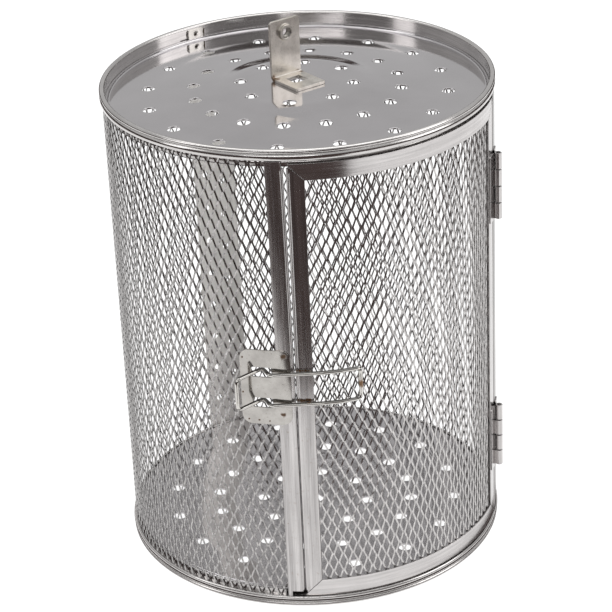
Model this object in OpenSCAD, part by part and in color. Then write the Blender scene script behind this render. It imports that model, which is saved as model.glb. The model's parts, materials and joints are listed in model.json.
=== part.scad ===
// Rotisserie roasting basket: a perforated-end mesh drum with a hinged door,
// a spring-wire latch and a square drive bracket on its upper end.
// The drum axis is Z and the origin is on that axis, at the plane the lower rim rests on.
// Angles run anticlockwise from +X, seen from above; the door's free edge is at -Y.

/* [Drum] */
// Outer radius of the two rims
drum_r = 80; // [70:1:95]
// Height of the drum over both rims, without the drive bracket
drum_h = 202.5; // [180:0.5:230]
// Thickness of the expanded-metal sheet
mesh_t = 0.6; // [0.5:0.1:0.8]
// How far the mesh lies inside the rims' outer radius
mesh_inset = 0.9; // [0.8:0.1:1.2]

/* [Rims] */
// Radial width of the rolled lip
lip_w = 2.4; // [2:0.1:3]
// Height of the rim's outer band, lip and bead together
rim_h = 4.6; // [4:0.1:6]
// Thickness of the rim's inner wall
wall_t = 0.6; // [0.5:0.1:0.8]
// Depth of the inner wall below the lip's edge
wall_h = 7.2; // [6:0.1:9]
// Angle of the joint in each rim's inner wall
joint_angle = 131.6; // [90:0.1:200]
// Width of the gap at that joint
joint_gap = 3; // [2:0.1:4]

/* [End plates] */
// Thickness of the end plates
plate_t = 0.8; // [0.6:0.1:1.2]
// Depth of the plate's outer land below the lip's edge
land_depth = 6.4; // [5:0.1:8]
// Depth of the plate's raised centre below the lip's edge
centre_depth = 2.9; // [2:0.1:4]
// Diameter of the perforations
perf_d = 5.4; // [4:0.1:6]
// Holes in the outer ring, and in the middle ring
perf_count = 16; // [8:2:24]
// Angle of the first hole
perf_angle = 18.9; // [0:0.1:45]
// Side of the square spit hole
spit_side = 6.5; // [5:0.1:8]

/* [Drive bracket] */
// Width of the bracket
bracket_w = 14.6; // [12:0.2:22]
// Length of the tab that lies on the plate
tab_len = 16.6; // [14:0.2:22]
// Distance from the drum's axis to the tab's free end
tab_reach = 9.8; // [8:0.1:12]
// Height of the upright above the tab
upright_h = 23.6; // [20:0.2:30]
// Thickness of the bracket's sheet
bracket_t = 1.2; // [1:0.1:1.6]
// Height of the thumbscrew hole above the tab
screw_h = 18.2; // [15:0.1:20]
// Diameter of the tapped hole
screw_d = 4.2; // [3:0.1:5]

/* [Door] */
// Angle of the door's free edge
door_start = -90; // [-90:1:-60]
// Angle of the hinge axis
door_end = -10; // [-20:1:0]
// Width of the gap round the door's upright edges
door_gap = 0.7; // [0.6:0.1:1.5]
// Gap between the door's rails and the rims
rail_gap = 1; // [0.6:0.1:2]
// Width of the frame strips
strip_w = 7; // [5:0.1:9]
// Thickness of the frame strips
strip_t = 0.6; // [0.5:0.1:0.8]
// Extra gap at the top of the latch post
post_relief = 1.1; // [0.5:0.1:1.5]

/* [Hinges] */
// Distance of each hinge's middle from the drum's middle
hinge_offset = 57.6; // [40:0.1:70]
// Height of the barrel and the leaves
hinge_len = 29.2; // [20:0.4:40]
// Outer diameter of the knuckles
knuckle_d = 2.9; // [2.6:0.1:3.2]
// Diameter of the hinge pin
pin_d = 1.5; // [1.2:0.1:1.6]

/* [Latch] */
// Height of the latch's middle above the base
latch_z = 102; // [90:1:115]
// Diameter of the spring wire
wire_d = 1.6; // [1.2:0.1:1.8]
// Distance between the wire's two arms
arm_pitch = 13.5; // [12:0.5:16]
// Height of the latch plate
catch_h = 33; // [30:1:40]

/* [Hidden] */
$fn = 48;

wall_r = drum_r - lip_w;           // inner face of the rims' wall
mesh_out = drum_r - mesh_inset;    // outer face of the mesh
mesh_in = mesh_out - mesh_t;
strip_out = mesh_out + strip_t;    // outer face of the frame strips
lip_round = 0.8;                   // corner radius of the lip and of the bead
arc_steps = 6;
joint_wide = joint_gap * 57.3 / wall_r;
gap_half = door_gap / 2 * 57.3 / strip_out;
strip_angle = strip_w * 57.3 / strip_out;
rail_low = rim_h + rail_gap;
rail_high = drum_h - rail_low;
strap_w = 8;                       // width of the strap at each rim joint
strap_t = 0.5;
seam_w = 20;                       // the inner strip over the mesh sheet's own seam
seam_angle = 124;
cone_r = [60.4, 34.4, 26.4];       // radii where the plate's stamping changes slope
cone_depth = 4.3;                  // depth at the middle one of those radii
ring_r = [61.2, 42.4, 23];         // radii of the three rings of holes
bracket_turn = -50;                // direction in which the tab points from the upright
bend_r = 1.6;                      // outer radius of the bracket's bend
collar_d = 6.4;
collar_t = 1.5;
hinge_r = strip_out + 2.3;         // radius of the hinge axis from the drum axis
leaf_t = 0.6;
leaf_out = strip_out + leaf_t;
leaf_w = 7;
knuckle_h = hinge_len / 4;
knuckle_gap = 0.35;
pin_clear = 0.03;
catch_t = 0.6;
catch_right = -91;                 // edges of the latch plate
catch_left = -105.6;
catch_round = 4;
window_right = -95.5;               // edges of the plate's two windows
window_left = -102.3;
window_h = 5.4;
weld_angle = -71.3;                // where the wire is welded to the door's mesh
corner_r = 2.4;                    // the wire's corners
wire_sides = 12;
// The wire arm seen from above, from the weld to the finger loop: radius, angle.
arm_path = [[80.3, weld_angle], [80.8, -77], [80.9, -82], [81.1, -88], [81.7, -93],
    [82.4, -95.7], [82.1, -96.8], [78.2, -98.9], [77.7, -99.5], [78.2, -100.2], [88.5, -104.6]];

function polar(r, a, z = 0) = [r * cos(a), r * sin(a), z];

// A curved strip of the drum's wall, from angle a0 to a1 and from z0 to z1.
module shell(r_in, r_out, a0, a1, z0, z1)
    rotate([0, 0, a0])
        translate([0, 0, z0])
            rotate_extrude(angle = a1 - a0, $fn = 180)
                translate([r_in, 0])
                    square([r_out - r_in, z1 - z0]);

// A box across the wall at angle a, w wide along the wall, from z0 to z1.
module wall_box(a, w, z0, z1, r0 = drum_r - 6, depth = 12)
    rotate([0, 0, a])
        translate([r0, -w / 2, z0])
            cube([depth, w, z1 - z0]);

// Points of an arc about (x, y), from angle a0 to a1.
function arc(x, y, r, a0, a1) =
    [for (i = [0 : arc_steps]) let (a = a0 + (a1 - a0) * i / arc_steps) [x + r * cos(a), y + r * sin(a)]];

// Outline of a rim: radius to the right, distance from the free edge upwards.
// It runs round the lip, the groove and the bead, and back along the inner wall.
module rim_profile() {
    inner = wall_r + lip_round;
    outer = drum_r - lip_round;
    polygon(concat(
        arc(inner, lip_round, lip_round, 180, 270),
        arc(outer, lip_round, lip_round, 270, 360),
        arc(outer, 2 * lip_round, lip_round, 0, 90),
        arc(outer, rim_h - lip_round, lip_round, -90, 0),
        arc(outer, rim_h - lip_round, lip_round, 15, 90),
        [[wall_r + wall_t, rim_h], [wall_r + wall_t, wall_h], [wall_r, wall_h]]));
}

module rim()
    difference() {
        rotate_extrude($fn = 180) rim_profile();
        // the open joint in the inner wall
        shell(wall_r - 1, wall_r + wall_t + 0.1, joint_angle - joint_wide / 2,
            joint_angle + joint_wide / 2, lip_round + 0.1, wall_h + 1);
    }

module rim_strap() {
    a1 = joint_angle - joint_wide / 2;
    a0 = a1 - strap_w * 57.3 / wall_r;
    shell(wall_r - strap_t, wall_r, a0, a1, 1.4, land_depth - plate_t - 0.2);
}

// Section of an end plate, with its depth below the lip's edge measured upwards.
module plate_profile() {
    polygon([[0, centre_depth], [cone_r[2], centre_depth], [cone_r[1], cone_depth],
        [cone_r[0], land_depth], [wall_r, land_depth], [wall_r, land_depth + plate_t],
        [cone_r[0], land_depth + plate_t], [cone_r[1], cone_depth + plate_t],
        [cone_r[2], centre_depth + plate_t], [0, centre_depth + plate_t]]);
    // the turned-up edge against the rim's wall
    translate([wall_r - 2 * plate_t, land_depth - plate_t])
        difference() {
            square([2 * plate_t, plate_t]);
            translate([plate_t / 2, 0]) circle(plate_t);
        }
}

module spit_hole(z0, z1)
    rotate([0, 0, bracket_turn])
        translate([-spit_side / 2, -spit_side / 2, z0])
            cube([spit_side, spit_side, z1 - z0]);

module end_plate()
    difference() {
        rotate_extrude($fn = 180) plate_profile();
        for (ring = [0, 1], i = [0 : perf_count - 1])
            translate(polar(ring_r[ring], perf_angle + i * 360 / perf_count))
                cylinder(d = perf_d, h = 20, $fn = 32);
        for (i = [0 : perf_count / 2 - 1])
            translate(polar(ring_r[2], perf_angle + (2 * i + 1) * 360 / perf_count))
                cylinder(d = perf_d, h = 20, $fn = 32);
        spit_hole(-1, 20);
    }

// Turns a piece of the lower end over, for the upper end.
module upper_end()
    translate([0, 0, drum_h])
        mirror([0, 0, 1])
            children();

module bottom_rim()
    color("silver")
        rim();

module top_rim()
    color("silver")
        upper_end() rim();

module bottom_rim_strap()
    color("tan")
        rim_strap();

module top_rim_strap()
    color("tan")
        upper_end() rim_strap();

module bottom_plate()
    color("lightgray")
        end_plate();

module top_plate()
    color("lightgray")
        upper_end() end_plate();

// Side view of the bracket: tab along +X, upright along +Y, bend at the origin.
module bracket_profile()
    difference() {
        union() {
            translate([bend_r, 0]) square([tab_len - bend_r + bracket_t, bracket_t]);
            translate([0, bend_r]) square([bracket_t, upright_h + bracket_t - bend_r]);
            intersection() {
                translate([bend_r, bend_r]) circle(bend_r);
                square([bend_r, bend_r]);
            }
        }
        translate([bend_r, bend_r]) circle(bend_r - bracket_t);
    }

module drive_bracket()
    color("wheat")
        difference() {
            rotate([0, 0, bracket_turn])
                translate([tab_reach - tab_len - bracket_t, 0, drum_h - centre_depth])
                    difference() {
                        union() {
                            translate([0, bracket_w / 2, 0])
                                rotate([90, 0, 0])
                                    linear_extrude(bracket_w)
                                        bracket_profile();
                            translate([bracket_t / 2, 0, bracket_t + screw_h])
                                rotate([0, 90, 0])
                                    cylinder(d = collar_d, h = bracket_t / 2 + collar_t);
                        }
                        translate([-1, 0, bracket_t + screw_h])
                            rotate([0, 90, 0])
                                cylinder(d = screw_d, h = 10);
                        for (side = [-1, 1])
                            upright_corner(side);
                    }
            spit_hole(drum_h - 10, drum_h + 5);
        }

// What is cut off an upper corner of the upright to round it.
module upright_corner(side) {
    round_r = 1.5;
    translate([-1, side * (bracket_w / 2 - round_r), upright_h + bracket_t - round_r])
        difference() {
            translate([0, side > 0 ? 0 : -2 * round_r, 0]) cube([4, 2 * round_r, 2 * round_r]);
            translate([-1, 0, 0]) rotate([0, 90, 0]) cylinder(r = round_r, h = 6, $fn = 32);
        }
}

// Both windows through which the wire's bends reach behind the latch plate.
module windows(r_in, r_out, margin = 0)
    for (side = [-1, 1])
        shell(r_in, r_out, window_left - margin, window_right + margin,
            latch_z + side * arm_pitch / 2 - window_h / 2 - margin,
            latch_z + side * arm_pitch / 2 + window_h / 2 + margin);

module body_mesh()
    color("gainsboro")
        difference() {
            shell(mesh_in, mesh_out, door_end + gap_half, door_start + 360 - gap_half,
                rim_h, drum_h - rim_h);
            windows(mesh_in - 1, mesh_out + 1, 0.4);
        }

module seam_strip()
    color("silver")
        shell(mesh_in - strip_t, mesh_in, seam_angle - seam_w * 28.65 / mesh_in,
            seam_angle + seam_w * 28.65 / mesh_in, wall_h, drum_h - wall_h);

module latch_post()
    color("dimgray")
        difference() {
            shell(mesh_out, strip_out, door_start - gap_half - strip_angle, door_start - gap_half,
                rim_h, drum_h - rim_h);
            // the edge leans away from the door towards its top
            rotate([0, 0, door_start - gap_half])
                translate([drum_r - 6, 0, drum_h / 2])
                    rotate([atan(post_relief / (drum_h / 2)), 0, 0])
                        cube([12, 4, drum_h]);
            // the slot at the post's foot
            wall_box(door_start - gap_half, 11, rim_h - 1, rim_h + 1.6);
        }

module hinge_post()
    color("silver")
        shell(mesh_out, strip_out, door_end + gap_half, door_end + gap_half + strip_angle,
            rim_h, drum_h - rim_h);

module latch_plate()
    color("wheat") {
        middle = (catch_left + catch_right) / 2;
        half_w = strip_out * sin((catch_right - catch_left) / 2);
        half_h = catch_h / 2;
        x = half_w - catch_round;
        y = half_h - catch_round;
        difference() {
            intersection() {
                shell(strip_out, strip_out + catch_t, catch_left - 2, catch_right + 2,
                    latch_z - half_h - 1, latch_z + half_h + 1);
                rotate([0, 0, middle])
                    translate([drum_r / 2, 0, latch_z])
                        rotate([90, 0, 90])
                            linear_extrude(drum_r)
                                polygon(concat(
                                    arc(x, y, catch_round, 0, 90), arc(-x, y, catch_round, 90, 180),
                                    arc(-x, -y, catch_round, 180, 270), arc(x, -y, catch_round, 270, 360)));
            }
            windows(strip_out - 1, strip_out + catch_t + 1);
        }
    }

// Places a child in a hinge's own frame: X outwards, Y away from the door, Z up.
module at_hinge(z)
    rotate([0, 0, door_end])
        translate([hinge_r, 0, z])
            children();

// One leaf: side is 1 for the fixed leaf and -1 for the door's; it owns every second knuckle.
module hinge_leaf(z, side, first) {
    z0 = z - hinge_len / 2;
    z1 = z + hinge_len / 2;
    a0 = 1.6 * 57.3 / strip_out;
    a1 = leaf_w * 57.3 / strip_out;
    difference() {
        union() {
            shell(strip_out, leaf_out, door_end + (side > 0 ? a0 : -a1),
                door_end + (side > 0 ? a1 : -a0), z0, z1);
            for (i = [first, first + 2])
                at_hinge(z0 + i * knuckle_h + knuckle_gap / 2) {
                    h = knuckle_h - knuckle_gap;
                    cylinder(d = knuckle_d, h = h);
                    // the sheet running under the barrel and curling up into it
                    translate([strip_out - hinge_r, side > 0 ? 0 : -1.8, 0])
                        cube([leaf_t, 1.8, h]);
                    translate([strip_out - hinge_r, side > 0 ? 0.8 : -1.4, 0])
                        cube([1.9, 0.6, h]);
                }
        }
        at_hinge(z0 - 1) cylinder(d = pin_d + 2 * pin_clear, h = hinge_len + 2);
    }
}

module hinge_pin(z)
    at_hinge(z - hinge_len / 2 - 0.2) cylinder(d = pin_d, h = hinge_len + 0.4);

upper_hinge_z = drum_h / 2 + hinge_offset;
lower_hinge_z = drum_h / 2 - hinge_offset;

module upper_hinge_fixed_leaf()
    color("silver")
        hinge_leaf(upper_hinge_z, 1, 1);

module lower_hinge_fixed_leaf()
    color("silver")
        hinge_leaf(lower_hinge_z, 1, 1);

module upper_hinge_door_leaf()
    color("darkgray")
        hinge_leaf(upper_hinge_z, -1, 0);

module lower_hinge_door_leaf()
    color("darkgray")
        hinge_leaf(lower_hinge_z, -1, 0);

module upper_hinge_pin()
    color("gray")
        hinge_pin(upper_hinge_z);

module lower_hinge_pin()
    color("gray")
        hinge_pin(lower_hinge_z);

door_left = door_start + gap_half;
door_right = door_end - gap_half;

// One side of a mitre line through a door corner: above it, or below it when side is -1.
module mitre_side(a, z, turn, side)
    rotate([0, 0, a])
        translate([drum_r, 0, z])
            rotate([turn, 0, 0])
                translate([-6, -16, side > 0 ? 0 : -16])
                    cube([12, 32, 16]);

module door_mesh()
    color("gainsboro")
        shell(mesh_in, mesh_out, door_left, door_right, rail_low, rail_high);

module door_latch_stile()
    color("darkgray")
        difference() {
            shell(mesh_out, strip_out, door_left, door_left + strip_angle, rail_low, rail_high);
            mitre_side(door_left, rail_high, -45, 1);
            mitre_side(door_left, rail_low, 45, -1);
        }

module door_hinge_stile()
    color("darkgray")
        difference() {
            shell(mesh_out, strip_out, door_right - strip_angle, door_right, rail_low, rail_high);
            mitre_side(door_right, rail_high, 45, 1);
            mitre_side(door_right, rail_low, -45, -1);
        }

module door_top_rail()
    color("gray")
        difference() {
            shell(mesh_out, strip_out, door_left, door_right, rail_high - strip_w, rail_high);
            mitre_side(door_left, rail_high, -45, -1);
            mitre_side(door_right, rail_high, 45, -1);
        }

module door_bottom_rail()
    color("gray")
        difference() {
            shell(mesh_out, strip_out, door_left, door_right, rail_low, rail_low + strip_w);
            mitre_side(door_left, rail_low, 45, 1);
            mitre_side(door_right, rail_low, -45, 1);
        }

function unit(v) = v / norm(v);

// A rounded corner of the wire at p, between its neighbours a and b.
function corner(a, p, b) =
    let (s = p - corner_r * unit(p - a), e = p + corner_r * unit(b - p))
    [for (t = [0 : 0.25 : 1]) (1 - t) * (1 - t) * s + 2 * t * (1 - t) * p + t * t * e];

// The ring of points round the wire at p, between its neighbours a and b.
function wire_ring(a, p, b) =
    let (along = unit(unit(p - a) + unit(b - p)), out = unit([p.x, p.y, 0]),
        side = unit(cross(along, out)), up = cross(side, along))
    [for (j = [0 : wire_sides - 1])
        p + wire_d / 2 * (side * cos(j * 360 / wire_sides) + up * sin(j * 360 / wire_sides))];

// The closed loop: out along the lower arm, and back along the upper one.
function wire_loop() =
    let (last = len(arm_path) - 1,
        low = [for (p = arm_path) polar(p[0], p[1], latch_z - arm_pitch / 2)],
        high = [for (p = arm_path) polar(p[0], p[1], latch_z + arm_pitch / 2)])
    concat(corner(high[0], low[0], low[1]),
        [for (i = [1 : last - 1]) low[i]],
        corner(low[last - 1], low[last], high[last]),
        corner(low[last], high[last], high[last - 1]),
        [for (i = [last - 1 : -1 : 1]) high[i]],
        corner(high[1], high[0], low[0]));

module latch_wire()
    color("whitesmoke")
        let (path = wire_loop(), n = len(path), m = wire_sides)
            polyhedron(
                points = [for (i = [0 : n - 1])
                    each wire_ring(path[(i + n - 1) % n], path[i], path[(i + 1) % n])],
                faces = [for (i = [0 : n - 1], j = [0 : m - 1])
                    let (k = (i + 1) % n, l = (j + 1) % m)
                    [i * m + j, i * m + l, k * m + l, k * m + j]]);

bottom_rim();
top_rim();
bottom_rim_strap();
top_rim_strap();
bottom_plate();
top_plate();
drive_bracket();
body_mesh();
seam_strip();
latch_post();
hinge_post();
latch_plate();
upper_hinge_fixed_leaf();
lower_hinge_fixed_leaf();
upper_hinge_pin();
lower_hinge_pin();
upper_hinge_door_leaf();
lower_hinge_door_leaf();
door_mesh();
door_latch_stile();
door_hinge_stile();
door_top_rail();
door_bottom_rail();
latch_wire();
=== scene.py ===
"""Looks of the rotisserie basket: rims, stamped end plates, expanded-metal walls, door, hinges and latch.

Every shape is made in millimetres in the CAD frame and scaled to metres when its mesh is made.
Angles are in degrees, anticlockwise from +X seen from above. The door's free edge is at -Y.
A shape is handed on as a part: its vertices, its faces and its vertex normals.
"""

import json
import math

import bpy
import numpy as np
from mathutils import Matrix, Vector
from mathutils.geometry import delaunay_2d_cdt


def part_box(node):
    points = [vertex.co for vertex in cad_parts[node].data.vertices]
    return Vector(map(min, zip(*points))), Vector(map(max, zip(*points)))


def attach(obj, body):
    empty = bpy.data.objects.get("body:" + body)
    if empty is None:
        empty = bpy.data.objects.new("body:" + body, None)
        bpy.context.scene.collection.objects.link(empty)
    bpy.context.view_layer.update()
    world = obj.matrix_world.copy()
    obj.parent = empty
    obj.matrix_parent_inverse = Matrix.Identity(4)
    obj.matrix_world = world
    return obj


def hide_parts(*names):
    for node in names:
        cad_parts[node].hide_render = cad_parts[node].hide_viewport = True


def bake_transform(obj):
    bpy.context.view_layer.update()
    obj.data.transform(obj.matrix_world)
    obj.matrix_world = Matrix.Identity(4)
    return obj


MM = 0.001
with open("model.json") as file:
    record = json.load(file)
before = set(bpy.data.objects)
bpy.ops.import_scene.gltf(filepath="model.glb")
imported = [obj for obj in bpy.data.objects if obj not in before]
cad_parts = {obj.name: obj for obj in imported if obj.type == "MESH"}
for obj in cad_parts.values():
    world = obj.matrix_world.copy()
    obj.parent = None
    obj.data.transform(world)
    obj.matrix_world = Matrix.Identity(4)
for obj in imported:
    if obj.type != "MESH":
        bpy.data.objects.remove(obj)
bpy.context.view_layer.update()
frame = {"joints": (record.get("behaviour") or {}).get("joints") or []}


# ------------------------------ sizes, from the frame where it has them

def low(node):
    """Lowest corner of a CAD node, in millimetres."""
    return np.array(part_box(node)[0]) / MM


def high(node):
    """Highest corner of a CAD node, in millimetres."""
    return np.array(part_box(node)[1]) / MM


DRUM_R = float(high("bottom_rim")[0])
DRUM_H = float(high("top_rim")[2])
RIM_W = 2.4                             # from the rim's outside to the inside of its inner wall
RIM_H = float(low("body_mesh")[2])      # height of the rim's outer band
WALL_R = DRUM_R - RIM_W                 # the rim's inner wall, which stands higher than its band
WALL_H = float(high("bottom_rim")[2])
WALL_T = 0.6
PLATE_DEPTH = 2.9                       # how far an end plate's middle lies inside the drum
SPIT_HALF = 3.25                        # half the side of the square hole for the spit
MESH_OUT = float(high("body_mesh")[1])
MESH_MID = MESH_OUT - 0.4
STRIP_T = 0.6
STRIP_OUT = MESH_OUT + STRIP_T
STRIP_MID = STRIP_OUT - STRIP_T / 2
STRIP_W = 7.0
DOOR_START = -90.0
DOOR_END = -10.0
DOOR_GAP = 0.7
JOINT_ANGLE = 131.6                     # the open joint in each rim
JOINT_GAP = 3.0
SEAM_ANGLE = 124.0                      # the wall mesh's own seam
SEAM_W = 20.0
LEAF_T = 0.6                            # thickness of the hinge leaves and the latch plate
LEAF_MID = STRIP_OUT + LEAF_T / 2
DOOR_JOINT = next(joint for joint in frame["joints"] if joint["name"] == "door_swing")
HINGE_R = math.hypot(*DOOR_JOINT["pos_m"][:2]) / MM
HINGE_RISE = 57.6                       # from the drum's mid-height to the middle of a hinge
LATCH_Z = float(low("latch_plate")[2] + high("latch_plate")[2]) / 2
ARM_PITCH = 13.5                        # between the latch wire's two arms
WIRE_R = 80.3                           # where the wire lies on the door
BRACKET_TURN = -50.0


def angle_of(length, radius):
    """The angle that an arc of this length takes at this radius."""
    return math.degrees(length / radius)


def polar(r, angle, z):
    """The point at this radius, angle and height."""
    return r * math.cos(math.radians(angle)), r * math.sin(math.radians(angle)), z


def arc_length(angle, radius=STRIP_MID):
    """Arc length from angle 0, at the strips' radius unless another is given."""
    return math.radians(angle) * radius


def arm_z(side):
    """Height of the latch wire's lower (-1) or upper (1) arm."""
    return LATCH_Z + side * ARM_PITCH / 2


# ------------------------------ mesh helpers

STRAND_SHARP = 50       # the strands' edges are sharp where they turn by more than this


def piece(name, part, material, slot, body, nodes):
    """Makes one piece from a part, and lets it ride on a body in place of CAD nodes."""
    verts, faces, normals = part
    mesh = bpy.data.meshes.new(name)
    mesh.from_pydata((verts * MM).tolist(), [], faces)
    mesh.shade_smooth()
    if normals is None:
        mesh.set_sharp_from_angle(angle=math.radians(STRAND_SHARP))
    else:
        mesh.normals_split_custom_set_from_vertices(normals.tolist())
    mesh.materials.append(material)
    obj = bpy.data.objects.new(name, mesh)
    bpy.context.scene.collection.objects.link(obj)
    if body:
        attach(obj, body)
    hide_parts(*nodes)
    return obj


def join(one, other):
    """Two parts as one."""
    faces = one[1] + [[i + len(one[0]) for i in face] for face in other[1]]
    return np.vstack([one[0], other[0]]), faces, np.vstack([one[2], other[2]])


def unit(v):
    """Vectors at length 1."""
    return v / np.maximum(np.linalg.norm(v, axis=-1, keepdims=True), 1e-12)


def full_turn(steps):
    """Even angles round a circle, in radians."""
    return np.linspace(0, 2 * math.pi, steps, endpoint=False)


def arc(x, y, r, a0, a1, steps=10, facing=1):
    """Points of an arc, each with its normal: x, y, nx, ny. facing -1 is a hollow arc."""
    a = np.radians(np.linspace(a0, a1, steps + 1))
    c, s = np.cos(a), np.sin(a)
    return np.column_stack([x + r * c, y + r * s, facing * c, facing * s])


def flat(x0, y0, x1, y1, steps=1):
    """Points of a straight run with the normal on its right-hand side."""
    t = np.linspace(0, 1, steps + 1)
    n = unit(np.array([y1 - y0, x0 - x1], float))
    return np.column_stack([x0 + (x1 - x0) * t, y0 + (y1 - y0) * t, n[0] + 0 * t, n[1] + 0 * t])


def about_z(r, a, z):
    """Points at radius r, angle a and height z."""
    return np.column_stack([r * np.cos(a), r * np.sin(a), z])


def rotated(x, y, z, angle):
    """Points turned about the drum's axis."""
    c, s = math.cos(math.radians(angle)), math.sin(math.radians(angle))
    return np.column_stack([x * c - y * s, x * s + y * c, z])


def lathe(profile, angles, move=None, axis=about_z):
    """Turns a closed outline of (r, z, nr, nz) points through a full turn of angles, in radians.
    move may give the points another radius by their angle, in degrees."""
    count = len(profile)
    a = np.repeat(angles, count)
    r, z, nr, nz = (np.tile(profile[:, i], len(angles)) for i in range(4))
    if move:
        r = move(r, z, np.degrees(a))
    verts = axis(r, a, z)
    tips = axis(r + nr, a, z + nz)
    faces = []
    for i in range(len(angles)):
        j = (i + 1) % len(angles)
        for k in range(count):
            m = (k + 1) % count
            faces.append([i * count + k, j * count + k, j * count + m, i * count + m])
    if signed_area(profile[:, :2]) < 0:
        faces = [face[::-1] for face in faces]
    return verts, faces, unit(tips - verts)


def divide(loop, length):
    """Adds points to a closed loop. length gives the longest edge allowed between two of its corners."""
    out = []
    for p, q in zip(loop, np.roll(loop, -1, axis=0)):
        n = max(1, int(math.ceil(np.linalg.norm(q - p) / length(p, q))))
        out += [p + (q - p) * i / n for i in range(n)]
    return np.array(out)


def outward(loop):
    """Outward unit normals at the points of a loop whose inside is on its left, and how many times longer a
    step along each has to be at its corner."""
    ahead = unit(np.roll(loop, -1, axis=0) - loop)
    behind = np.roll(ahead, 1, axis=0)
    n0 = np.column_stack([behind[:, 1], -behind[:, 0]])
    n1 = np.column_stack([ahead[:, 1], -ahead[:, 0]])
    n = unit(n0 + n1)
    return n, 1 / np.clip((n * n0).sum(1), 0.5, 1)


def shrink(loop, amount):
    """Moves the edges of a loop inwards."""
    normal, growth = outward(loop)
    return loop - normal * (amount * growth)[:, None]


def inside(points, loops):
    """Which points lie inside the outline and outside its holes."""
    state = np.zeros(len(points), bool)
    x, y = points[:, 0], points[:, 1]
    for loop in loops:
        for (x0, y0), (x1, y1) in zip(loop, np.roll(loop, -1, axis=0)):
            if y0 != y1:
                crosses = (y0 > y) != (y1 > y)
                state ^= crosses & (x < (x1 - x0) * (y - y0) / (y1 - y0) + x0)
    return state


def signed_area(loop):
    """Area of a loop, positive when it runs anticlockwise."""
    after = np.roll(loop, -1, axis=0)
    return ((loop[:, 0] * after[:, 1] - after[:, 0] * loop[:, 1]).sum()) / 2


def triangulate(loops, grid):
    """Fills an outline and its holes with triangles through the grid's points. The third result gives the
    place of each point of the loops, in turn, among the points made."""
    edges, start = [], 0
    for loop in loops:
        edges += [(start + i, start + (i + 1) % len(loop)) for i in range(len(loop))]
        start += len(loop)
    points = [Vector(p) for p in np.vstack(loops + [grid])]
    made, _, faces, origins, _, _ = delaunay_2d_cdt(points, edges, [], 0, 1e-6)
    made = np.array([tuple(p) for p in made])
    centres = np.array([made[list(face)].mean(0) for face in faces])
    faces = [face for face, kept in zip(faces, inside(centres, loops)) if kept]
    faces = [face if signed_area(made[list(face)]) > 0 else face[::-1] for face in faces]
    return made, faces, {source: i for i, sources in enumerate(origins) for source in sources}


def sheet(loops, thick, place, step, bevel, grid=None):
    """A sheet whose edges follow loops, the outline first and then its holes, with rounded edges.
    place maps (u, v, w) rows to space, where w runs through the sheet's thickness."""
    loops = [divide(loop, lambda p, q: step) for loop in loops]
    loops = [loop if (signed_area(loop) > 0) == (i == 0) else loop[::-1] for i, loop in enumerate(loops)]
    inset = [shrink(loop, bevel) for loop in loops]
    if grid is None:
        (u0, v0), (u1, v1) = loops[0].min(0), loops[0].max(0)
        us, vs = np.arange(u0 + step / 2, u1, step), np.arange(v0 + step / 2, v1, step)
        grid = np.array([(u, v) for u in us for v in vs])
    border = np.vstack(inset)
    to_border = np.array([np.min(np.hypot(*(border - p).T)) for p in grid])
    grid = grid[inside(grid, inset) & (to_border > 0.45 * step)]
    made, triangles, index = triangulate(inset, grid)

    half, n = thick / 2, len(made)
    verts = [np.column_stack([made, np.full(n, half)]), np.column_stack([made, np.full(n, -half)])]
    local = [np.tile([0, 0, 1.0], (n, 1)), np.tile([0, 0, -1.0], (n, 1))]
    faces = [list(t) for t in triangles] + [[i + n for i in reversed(t)] for t in triangles]
    first, total = 0, 2 * n
    for loop in loops:
        m = len(loop)
        side = np.column_stack([outward(loop)[0], np.zeros(m)])
        verts += [np.column_stack([loop, np.full(m, half - bevel)]),
                  np.column_stack([loop, np.full(m, bevel - half)])]
        local += [side, side]
        for i in range(m):
            j = (i + 1) % m
            top_i, top_j = index[first + i], index[first + j]
            faces.append([top_i, total + i, total + j, top_j])
            faces.append([total + i, total + m + i, total + m + j, total + j])
            faces.append([total + m + i, top_i + n, top_j + n, total + m + j])
        first += m
        total += 2 * m
    return settle(np.vstack(verts), faces, np.vstack(local), place)


def settle(uvw, faces, local, place):
    """Maps a flat shape through place, and turns its normals with it."""
    eps = 1e-3
    du, dv, dw = ((place(uvw + eps * way) - place(uvw - eps * way)) / (2 * eps) for way in np.eye(3))
    through = np.cross(du, dv)
    normal = np.cross(dv, dw) * local[:, :1] + np.cross(dw, du) * local[:, 1:2] + through * local[:, 2:]
    if np.sum(through * dw) < 0:
        normal = -normal
        faces = [face[::-1] for face in faces]
    return place(uvw), faces, unit(normal)


def wrap(radius):
    """Bends a flat sheet round the drum: u is arc length at this radius, v is height, w is outwards."""
    return lambda p: about_z(radius + p[:, 2], p[:, 0] / radius, p[:, 1])


def corner_points(x, y, r, a0, a1, steps):
    """Points of a rounded corner."""
    return [tuple(q) for q in arc(x, y, r, a0, a1, steps)[:, :2]]


def box_loop(u0, v0, u1, v1, radii=(0, 0, 0, 0), steps=6):
    """A rectangle with rounded corners, from the lower left one anticlockwise."""
    out = []
    corners = [(u0, v0, 1, 1, 180), (u1, v0, -1, 1, 270), (u1, v1, -1, -1, 0), (u0, v1, 1, -1, 90)]
    for (u, v, du, dv, a), r in zip(corners, radii):
        out += corner_points(u + du * r, v + dv * r, r, a, a + 90, steps) if r > 0 else [(u, v)]
    return np.array(out)


def circle_loop(x, y, r, steps):
    """A circle as a loop of points."""
    a = full_turn(steps)
    return np.column_stack([x + r * np.cos(a), y + r * np.sin(a)])


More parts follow.
